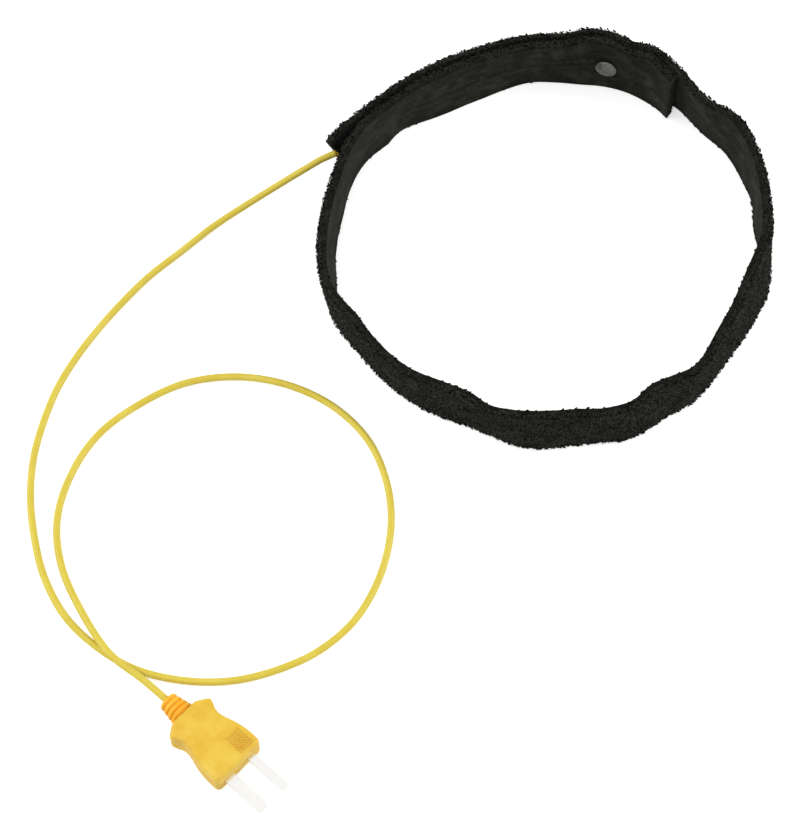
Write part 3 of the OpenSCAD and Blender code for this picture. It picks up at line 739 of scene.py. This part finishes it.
def tape_relief(a, u, z):
    """The hook tape: flat, and narrower than the ply that it is sewn to."""
    return u, STRAP_W / 2 + (z - STRAP_W / 2) * 0.95


WEB_ROWS = np.linspace(0.35, STRAP_W - 0.35, 17)
LINER_ROWS = [0.3, 0.8, 1.3, 1.7, 2.4, 3.6, 5.0, 6.3, 7.1, 7.6, 8.0, 8.4, 8.8, 9.2, 9.6, 10.0, 10.5,
              11.3, 12.5, 14.0, 15.4, 16.5, 17.3, 17.7, 18.2, 18.7]
TAPE_ROWS = np.linspace(0.15, STRAP_W - 0.15, 7)

# Between the hinges the plies are cut at these angles
CUFF_CUT, ARM_CUT, ROOT_CUT, MID_CUT, TIP_CUT = -105, -33, 30, 73, 105

# The strips of each ply: angles, and the CAD nodes that they stand for
WEBS = {
    "cuff": (CUFF_CUT, TAIL_END, ["cuff_web"]), "lower_bend": (ARM_CUT, CUFF_CUT, ["lower_arm_web"]),
    "upper_bend": (ROOT_CUT, ARM_CUT, ["upper_arm_web"]), "flap_bend": (MID_CUT, ROOT_CUT, ["flap_root_web"]),
    "mid_bend": (TIP_CUT, MID_CUT, ["flap_mid_web"]), "tip_bend": (TIP_END, TIP_CUT, ["flap_tip_web"]),
}
LINERS = {
    "cuff": (CUFF_CUT, TAIL_END, ["cuff_liner"]), "lower_bend": (ARM_CUT, CUFF_CUT, ["lower_arm_liner"]),
    "upper_bend": (ROOT_CUT, ARM_CUT, ["upper_arm_liner"]), "flap_bend": (ROOT_FLEX, ROOT_CUT, []),
}
TAPES = {
    "flap_bend": (MID_CUT, ROOT_FLEX, ["flap_root_hook"]), "mid_bend": (TIP_CUT, MID_CUT, ["flap_mid_hook"]),
    "tip_bend": (HOOK_END, TIP_CUT, ["flap_tip_hook"]),
}


def ply(kind, strips, u0, u1, rows, relief, material):
    """One ply of the strap, in strips that each ride on their length's body or lie over its bend."""
    made = {}
    for length, (a0, a1, stands_for) in strips.items():
        strip = dress(cloth_strip(kind + length, a0, a1, u0, u1, rows, relief), material)
        made[length] = with_bodies(strip, length)
        if stands_for:
            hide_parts(*stands_for)
    return made


webs = ply("web_", WEBS, 0, WEB_BASE_T, WEB_ROWS, web_relief, PILE)
liners = ply("liner_", LINERS, -LINER_T, 0, LINER_ROWS, liner_relief, LINER)
tapes = ply("hook_tape_", TAPES, -HOOK_BASE_T, 0, TAPE_ROWS, tape_relief, HOOK_BASE)

# ---- Pile, hooks and sewing ----


def thread_loop():
    """One loop of thread, half a turn about the Y axis, standing on the XY plane."""
    edit(circle(3, 0.24), "SELECT")
    bpy.ops.transform.translate(value=(1, 0, 0))
    bpy.ops.mesh.spin(steps=6, angle=math.pi, center=(0, 0, 0), axis=(0, 1, 0))
    return finished("thread_loop")


def matted_tuft():
    """One matted tuft: a bundle of thread that narrows and leans over towards its tip."""
    edit(circle(6, 1, "NGON"), "SELECT")
    for shift, size in ((0.1, 0.9), (0.25, 0.75), (0.4, 0.5)):
        pull((shift, 0, 0.35), (size, size, 1))
    return finished("matted_tuft", 80)


def nylon_hook():
    """One hook: a stem with its end bent over."""
    edit(circle(4, 0.3), "SELECT")
    bpy.ops.transform.translate(value=(0.7, 0, 0))
    bpy.ops.mesh.spin(steps=4, angle=math.radians(200), center=(0, 0, 0), axis=(0, 1, 0))
    pick("EDGE", lambda e: e.verts[0].co.x > 0 and abs(middle(e).z) < 1e-5)
    pull((0, 0, -1.4))
    return finished("nylon_hook")


def thread_stitch():
    """One stitch lying along X: a bar of thread that tapers where it enters the cloth."""
    clear()
    bpy.ops.mesh.primitive_cylinder_add(vertices=6, radius=1, depth=1.2, rotation=(0, math.pi / 2, 0))
    bpy.ops.object.transform_apply(location=True, rotation=True, scale=True)
    edit(bpy.context.object)
    for end in (-1, 1):
        pick("FACE", lambda f: f.normal.x * end > 0.9)
        pull((0.4 * end, 0, -0.9), (1, 0.4, 0.4))
    return finished("thread_stitch", 80)


def scattered(rng, a0, a1, z0, z1, pitch):
    """Angles and heights of places spread evenly, but not in rows."""
    columns = int(arc(a0 - a1) / pitch)
    rows = int((z1 - z0) / pitch)
    i, j = np.meshgrid(np.arange(columns), np.arange(rows), indexing="ij")
    shift = rng.uniform(0.1, 0.9, (2, columns, rows))
    return (a0 - (i + shift[0]).ravel() / columns * (a0 - a1), z0 + (j + shift[1]).ravel() / rows * (z1 - z0))


def tumbled(rng, along, across, out, lean):
    """Turns each frame about its outward way by any angle, and leans it by up to lean."""
    turn = rng.uniform(0, 2 * math.pi, (len(along), 1))
    tilt = rng.uniform(-lean, lean, (2, len(along), 1))
    up = out + tilt[0] * along + tilt[1] * across
    up /= np.linalg.norm(up, axis=1, keepdims=True)
    side = np.cos(turn) * along + np.sin(turn) * across
    return side, np.cross(up, side), up


def pile_on(name, loop, a0, a1, rng):
    """The loops on the outer face of a length of web, thinner and lower where the cloth is worn."""
    a, z = scattered(rng, a0, a1, 0.35, STRAP_W - 0.25, 0.9)
    u, z = web_relief(a, np.full_like(a, WEB_BASE_T - 0.1), z)
    points, along, across, out = strap_frames(a, u, z)
    side, over, up = tumbled(rng, along, across, out, 0.6)
    wide = rng.uniform(0.24, 0.42, len(a))
    tall = rng.uniform(0.5, 0.8, len(a)) * (1 + 0.15 * ripple(a, z, 5.1))
    return many(name, loop, points, side, over, up, MM * np.stack([wide, wide, tall], 1))


def edging_on(name, tuft, a0, a1, inner, rng):
    """The tufts along both edges, in clumps, which lean out of the web or into the loop."""
    count = int(arc(a0 - a1) / 0.6)
    tufts = []
    for height in (STRAP_W - 0.15, 0.45):
        for face in (-inner, WEB_BASE_T + 0.2):
            a = np.linspace(a0 - 0.3, a1 + 0.3, count) + rng.uniform(-0.2, 0.2, count)
            s = arc(a)
            clump = ease(0.4 + 0.8 * np.sin(s / 0.47 + 2.2 * np.sin(s / 1.9 + face) + height))
            u = np.full(count, face) - np.sign(face) * rng.uniform(0, 0.5, count)
            points, along, across, out = strap_frames(a, u, np.full(count, height))
            lift = 0.7 if height > 1 else 0.1
            up = lift * across + np.sign(face) * out * rng.uniform(0.4, 1.0, (count, 1))
            up /= np.linalg.norm(up, axis=1, keepdims=True)
            wide = rng.uniform(0.3, 0.5, count)
            tall = rng.uniform(0.7, 1, count) * (0.2 + 0.45 * clump)
            tufts.append((points, along, np.cross(up, along), up, MM * np.stack([wide, wide, tall], 1)))
    return many(name, tuft, *[np.concatenate(parts) for parts in zip(*tufts)])


def hooks_on(name, hook, a0, a1, rng):
    """The hooks on the inner face of a length of tape, in close rows that face either way."""
    a, z = scattered(rng, a0, a1, 1.2, STRAP_W - 1.2, 1.15)
    points, along, across, out = strap_frames(a, np.full_like(a, -HOOK_BASE_T - 0.35), z)
    facing = np.where(rng.uniform(size=(len(a), 1)) < 0.5, -1.0, 1.0)
    sizes = MM * np.tile([0.24, 0.24, 0.27], (len(a), 1))
    return many(name, hook, points, facing * along, -facing * across, -out, sizes)


def sewn(name, stitch, rows, relief, face):
    """Rows of stitches on a ply: from an angle and height to an angle and height, on the face u."""
    places = []
    for a0, z0, a1, z1 in rows:
        run = math.hypot(arc(a1 - a0), z1 - z0)
        count = int(run / STITCH_PITCH)
        t = (np.arange(count) + 0.5) / count
        a, z = a0 + (a1 - a0) * t, z0 + (z1 - z0) * t
        u = relief(a, np.full_like(a, face), z)[0]
        points, along, across, out = strap_frames(a, u, z)
        way = along if abs(a1 - a0) > abs(z1 - z0) / 3 else across
        up = out if face > 0 else -out
        places.append((points, way, np.cross(up, way), up))
    frames = [np.concatenate(parts) for parts in zip(*places)]
    sizes = MM * np.tile([0.95, 0.17, 0.13], (len(frames[0]), 1))
    return many(name, stitch, *frames, sizes)


LOOP, TUFT, HOOK, STITCH = thread_loop(), matted_tuft(), nylon_hook(), thread_stitch()
seeded = np.random.default_rng(7)
SEAM_Z = 0.8
CHANNEL = 1.6
for length, (a0, a1, _) in WEBS.items():
    inner = LINER_T if a1 < ROOT_FLEX else HOOK_BASE_T
    pile = dress(pile_on("pile_" + length, LOOP, a0, a1, seeded), PILE_LOOPS)
    edging = dress(edging_on("edging_" + length, TUFT, a0, a1, inner, seeded), PAINTED_SHADE_TUFTS)
    with_bodies(pile, length)
    with_bodies(edging, length)


def edge_seams(a0, a1):
    """Rows of stitches along the bottom and the top edge, from one angle to another."""
    return [(a0, z, a1, z) for z in (SEAM_Z, STRAP_W - SEAM_Z)]


TAIL_HEM = TAIL_END + 0.7
on_the_liner = {}
for length, (a0, a1, _) in LINERS.items():
    rows = edge_seams(a0, max(a1, TAIL_HEM))
    if length == "cuff":
        rows.append((TAIL_HEM, SEAM_Z + 1, TAIL_HEM, STRAP_W - SEAM_Z - 1))
    hem = dress(sewn("hem_stitches_" + length, STITCH, rows, liner_relief, -LINER_T), THREAD)
    on_the_liner[length] = [with_bodies(hem, length)]
channel = [(SENSOR_ANGLE + 3 - 360, z, LEAD_ANGLE - 362, z) for z in (WIRE_Z - CHANNEL, WIRE_Z + CHANNEL)]
channel_stitches = sewn("channel_stitches", STITCH, channel, liner_relief, -LINER_T)
dress(channel_stitches, WIRE_THREAD)
on_the_liner["cuff"].append(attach(channel_stitches, "cuff"))

for length, (a0, a1, _) in TAPES.items():
    hooks = dress(hooks_on("hooks_" + length, HOOK, a0, a1, seeded), HOOKS)
    seam = sewn("tape_stitches_" + length, STITCH, edge_seams(a0, a1), tape_relief, -HOOK_BASE_T)
    dress(seam, THREAD)
    with_bodies(hooks, length)
    with_bodies(seam, length)
for shape in (LOOP, TUFT, HOOK, STITCH):
    bpy.data.objects.remove(shape)

# ---- Plug ----

# Half the housing's width by its share of the length, from rear to face, as in the part's source
HALF_WIDTHS = [
    (0, BOOT_BASE_D / 2 + 0.4), (0.05, WING_W / 2 - 1.5), (0.11, WING_W / 2), (0.17, WING_W / 2 - 0.1),
    (0.25, WAIST_W / 2 + 0.3), (0.33, WAIST_W / 2), (0.43, WAIST_W / 2 + 0.3), (0.57, PLUG_W / 2 - 0.7),
    (0.74, PLUG_W / 2 - 0.1), (0.93, PLUG_W / 2), (0.98, PLUG_W / 2 - 0.4), (1, PLUG_W / 2 - 1.2),
]
EDGE_R = 1.2
SEAM_STEP = 0.14
BLADE_PITCH = 7.9
NECK_R, COLLAR_R, COLLAR_LEN, REAR_WALL = 2.2, 3.0, 1.4, 1.0
TERMINAL_X, TERMINAL_HOLE_R = 11.0, 0.85
CASE_X, CASE_SCREW_R, CASE_INSERT_R, CASE_HEAD_R = 12.4, 1.1, 1.6, 2.0

# The room inside the housing, along it and to each side of its middle; neighbouring bays overlap a little
CORES_END, CORES_SIDE = 8.8, 3.0
CROSS_START, CROSS_END = 8.6, 10.3
TERMINALS_START, TERMINALS_END = 10.2, 15.4
BAY_SIDE, RIB_SIDE = 5.3, 2.1
BLADES_START, SLOT_PLUS, SLOT_MINUS, SLOT_T = 15.2, 1.3, 1.7, 0.5


def side_outline(steps):
    """The housing's left side as a smooth line through its half widths."""
    line = []
    corners = [np.array((share * PLUG_LEN, half)) for share, half in HALF_WIDTHS]
    last = len(corners) - 1
    for i in range(last):
        a, b, c, d = (corners[min(last, max(0, i + k))] for k in (-1, 0, 1, 2))
        for t in np.arange(steps) / steps:
            line.append(b + t * (c - a) / 2 + t * t * (2 * a - 5 * b + 4 * c - d) / 2
                        + t ** 3 * (3 * b - a - 3 * c + d) / 2)
    return line + [corners[last]]


def block(x0, x1, y0, y1, half):
    """A cutter with flat sides along the plug's axes, this high above and below the seam."""
    clear()
    bpy.ops.mesh.primitive_cube_add(size=1, location=MM * Vector((x0 + x1, y0 + y1, 0)) / 2)
    cutter = bpy.context.object
    cutter.scale = MM * Vector((x1 - x0, y1 - y0, 2 * half))
    return cutter


def drill(start, end, radius):
    """A round cutter from one point to another."""
    a, b = MM * Vector(start), MM * Vector(end)
    clear()
    turn = (b - a).to_track_quat("Z", "Y").to_euler()
    bpy.ops.mesh.primitive_cylinder_add(vertices=48, radius=radius * MM, depth=(b - a).length,
                                        location=(a + b) / 2, rotation=turn)
    return bpy.context.object


def on_the_plug(piece, name, smooth):
    """Moves a piece from the plug's own axes to where the plug lies, and finishes it."""
    piece.location = plug_point(0, 0, PLUG_T / 2)
    piece.rotation_euler = (0, 0, PLUG_TURN)
    only(piece)
    return finished(name, smooth)


def shell(name, up):
    """One half of the housing: its outline pulled up from the parting plane in rings, with a fine step
    at the seam and a soft long edge, and room inside for the boot, lead, blades and case screw."""
    left = side_outline(5)
    outline = [(x, y) for x, y in left] + [(x, -y) for x, y in reversed(left)]
    turns = np.radians(np.arange(15, 91, 15))
    rings = [(0, SEAM_STEP), (SEAM_STEP, 0), (PLUG_T / 2 - EDGE_R, 0)]
    rings += [(PLUG_T / 2 - EDGE_R * (1 - math.sin(t)), EDGE_R * (1 - math.cos(t))) for t in turns]
    rings += [(PLUG_T / 2, EDGE_R + 0.6)]
    half = circle(len(outline), 1, "NGON")
    narrow = 1 - 2 * SEAM_STEP / PLUG_W
    for vertex, (x, y) in zip(half.data.vertices, outline):
        vertex.co = MM * Vector((PLUG_LEN / 2 + (x - PLUG_LEN / 2) * narrow, y * narrow, 0))
    edit(half, "SELECT")
    for (z0, inset0), (z1, inset1) in zip(rings, rings[1:]):
        size = [(side - 2 * inset1) / (side - 2 * inset0) for side in (PLUG_LEN, PLUG_W)]
        pull((0, 0, up * (z1 - z0) * MM), (*size, 1), center_override=(PLUG_LEN / 2 * MM, 0, 0))
    face_outwards()
    bpy.ops.object.mode_set(mode="OBJECT")
    bay, wire_bay = (2.5, 1.4) if up > 0 else (0.45, 0.45)
    blade_y = BLADE_PITCH / 2
    cut_out(
        half,
        drill((-1, 0, 0), (REAR_WALL + 0.05, 0, 0), NECK_R + 0.05),
        drill((REAR_WALL - 0.05, 0, 0), (REAR_WALL + COLLAR_LEN + 0.05, 0, 0), COLLAR_R + 0.05),
        drill((REAR_WALL, 0, 0), (STRIP_X + 0.4, 0, 0), LEAD_D / 2 + 0.1),
        block(STRIP_X + 0.2, CORES_END, -CORES_SIDE, CORES_SIDE, wire_bay),
        block(CROSS_START, CROSS_END, -BAY_SIDE, BAY_SIDE, bay),
        block(TERMINALS_START, TERMINALS_END, RIB_SIDE, BAY_SIDE, bay),
        block(TERMINALS_START, TERMINALS_END, -BAY_SIDE, -RIB_SIDE, bay),
        block(BLADES_START, PLUG_LEN + 1, blade_y - SLOT_PLUS, blade_y + SLOT_PLUS, SLOT_T),
        block(BLADES_START, PLUG_LEN + 1, -blade_y - SLOT_MINUS, -blade_y + SLOT_MINUS, SLOT_T),
    )
    if up > 0:
        cut_out(half, drill((CASE_X, 0, -1), (CASE_X, 0, 2.5), CASE_INSERT_R))
    else:
        cut_out(half, drill((CASE_X, 0, -5), (CASE_X, 0, 1), CASE_SCREW_R),
                drill((CASE_X, 0, -5), (CASE_X, 0, -2.5), CASE_HEAD_R))
        for y in (blade_y, -blade_y):
            cut_out(half, drill((TERMINAL_X, y, -2.1), (TERMINAL_X, y, 1), TERMINAL_HOLE_R))
    return on_the_plug(half, name, 35)


def grip_stud():
    """One low stud of the finger grip: a disc drawn in to a smaller top."""
    clear()
    bpy.ops.mesh.primitive_cylinder_add(vertices=10, radius=0.38 * MM, depth=0.3 * MM)
    edit(bpy.context.object)
    pick("FACE", lambda f: f.normal.z > 0.9)
    bpy.ops.mesh.inset(thickness=0.1 * MM, depth=0.08 * MM)
    bpy.ops.mesh.inset(thickness=0.1 * MM, depth=0.04 * MM)
    return finished("grip_stud", 50)


def finger_grip(name):
    """Rows of studs on the top face, near the blades and left of the middle."""
    stud = grip_stud()
    rows = [(x, y) for x in np.arange(14.0, 19.2, 1.0) for y in np.arange(2.3, 6.3, 0.95)]
    places = np.array([tuple(plug_point(x, y, PLUG_T)) for x, y in rows])
    axes = [np.tile(axis, (len(rows), 1)) for axis in np.eye(3)]
    grip = many(name, stud, places, *axes, np.ones((len(rows), 3)))
    bpy.data.objects.remove(stud)
    return grip


def boot(name):
    """The boot from its free end to its collar: a cone with soft ribs, then the neck in the housing."""
    ribs, groove = 4, 0.55
    tip_r, base_r = 2.6, BOOT_BASE_D / 2
    line = [(-BOOT_LEN, LEAD_D / 2 + 0.1), (-BOOT_LEN, tip_r - 0.5), (-BOOT_LEN + 0.12, tip_r - 0.15)]
    for x in np.linspace(-BOOT_LEN + 0.3, -0.12, 56):
        share = (x + BOOT_LEN) / BOOT_LEN
        dip = ease((math.cos(2 * math.pi * (share * ribs - 0.86)) - 0.1) / 0.8)
        line.append((x, tip_r + (base_r - tip_r) * share - groove * dip))
    line += [(-0.05, base_r - 0.6), (-0.05, NECK_R), (REAR_WALL, NECK_R), (REAR_WALL, COLLAR_R),
             (REAR_WALL + COLLAR_LEN, COLLAR_R), (REAR_WALL + COLLAR_LEN, LEAD_D / 2 + 0.1)]
    return on_the_plug(turned_about_x(name, line), name, 60)


ON_THE_LEAD = {
    "plug_upper": dress(shell("plug_upper", 1), SHELL),
    "plug_lower": dress(shell("plug_lower", -1), SHELL),
    "plug_grip": dress(finger_grip("plug_grip"), GRIP),
    "lead_boot": dress(boot("lead_boot"), BOOT),
}
for piece in ON_THE_LEAD.values():
    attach(piece, "cuff")
STANDS_FOR = {"plug_upper": "plug_shell_upper", "plug_lower": "plug_shell_lower", "lead_boot": "plug_boot"}
for name, node in STANDS_FOR.items():
    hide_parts(node)

# ---- Sensor ----

DIMPLE_R, DIMPLE_OUT = 0.9, 1.35


def sensor_disc(name):
    """The contact disc: a rolled rim, a shallow groove and a low dome with three dimples."""
    face = [(0.5, 0.9), (0.5, 3.1), (0.6, 3.25), (0.85, 3.25), (1.0, 3.1), (0.95, 2.7), (0.98, 2.5),
            (1.22, 1.8), (1.36, 1.0), (1.4, 0.0005)]
    profile = [(-0.1, 0.0005), (-0.1, 0.9)] + [(LINER_T + x, r) for x, r in face]
    disc = turned_about_x(name, profile)
    for k in range(3):
        turn = math.radians(90 + 120 * k)
        clear()
        place = (LINER_T + 2.0, DIMPLE_OUT * math.cos(turn), DIMPLE_OUT * math.sin(turn))
        bpy.ops.mesh.primitive_uv_sphere_add(segments=24, ring_count=12, radius=DIMPLE_R * MM,
                                             location=MM * Vector(place))
        cut_out(disc, bpy.context.object)
    tail = SENSOR_ANGLE - 360
    disc.location = Vector(strap_points(tail, 0.0, WIRE_Z))
    slope = (seam_radius(tail + 1, WIRE_Z) - seam_radius(tail - 1, WIRE_Z)) / arc(2)
    disc.rotation_euler = (0, 0, math.radians(SENSOR_ANGLE + 180) - math.atan(slope))
    only(disc)
    return finished(name)


sensor = dress(sensor_disc("sensor_disc"), SENSOR)
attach(sensor, "cuff")
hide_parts("contact_disc")

# ---- Lead ----

lead = dress(lead_jacket(), LEAD_JACKET)
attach(lead, "cuff")
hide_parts("lead_cord")

# ---- Carried-over nodes ----

FINISHES = {
    "junction_bead": BEAD, "wire_positive": YELLOW_WIRE, "wire_negative": RED_WIRE,
    "core_positive": CORE, "core_negative": CORE, "blade_positive": BLADE, "blade_negative": BLADE,
    "terminal_screws": STEEL, "case_screw": STEEL, "case_insert": BRASS,
}
for node, finish in FINISHES.items():
    for material_slot in nodes[node].material_slots:
        material_slot.material = finish

# ---- Floor, world and lamps ----


def set_stage():
    """A white floor that keeps the shadow, and a white world that lights evenly."""
    clear()
    bpy.ops.mesh.primitive_plane_add(size=6, location=(0, 0, -0.0001))
    floor = finished("floor")
    material, tree, shader, _ = surface("floor_paint", roughness=0.9, specular=0.0)
    shader.inputs["Base Color"].default_value = (0.9, 0.9, 0.9, 1)
    seen = add(tree, "LightPath").outputs["Is Camera Ray"]
    tree.links.new(calc(tree, "MULTIPLY", seen, 0.5), shader.inputs["Emission Strength"])
    shader.inputs["Emission Color"].default_value = WHITE
    floor.data.materials.append(material)
    world = bpy.data.worlds.new("world")
    bpy.context.scene.world = world
    world.use_nodes = True
    tree = world.node_tree
    paths = add(tree, "LightPath").outputs
    shown = calc(tree, "MAXIMUM", paths["Is Camera Ray"], calc(tree, "MAXIMUM", paths["Is Glossy Ray"],
                 paths["Is Transmission Ray"]))
    strength = calc(tree, "MULTIPLY_ADD", shown, 0.45, 0.55)
    background = tree.nodes["Background"]
    background.inputs["Color"].default_value = WHITE
    tree.links.new(strength, background.inputs["Strength"])


def lamp(name, place, target, size, power):
    """A square soft lamp at a place, facing a target."""
    data = bpy.data.lights.new(name, "AREA")
    data.size = size
    data.energy = power
    light = new_object(name, data)
    light.location = place
    light.rotation_euler = (Vector(target) - Vector(place)).to_track_quat("-Z", "Y").to_euler()


set_stage()
lamp("key_lamp", (-0.4, -0.5, 1.4), (-0.04, -0.05, 0), 0.7, 5.0)
lamp("right_lamp", (1.1, 0.1, 0.6), (0, 0, 0), 0.8, 8.0)
lamp("left_lamp", (-1.1, 0.2, 0.6), (0.02, 0, 0), 0.8, 6.0)

bpy.context.scene.view_settings.view_transform = "Standard"

bpy.context.view_layer.update()
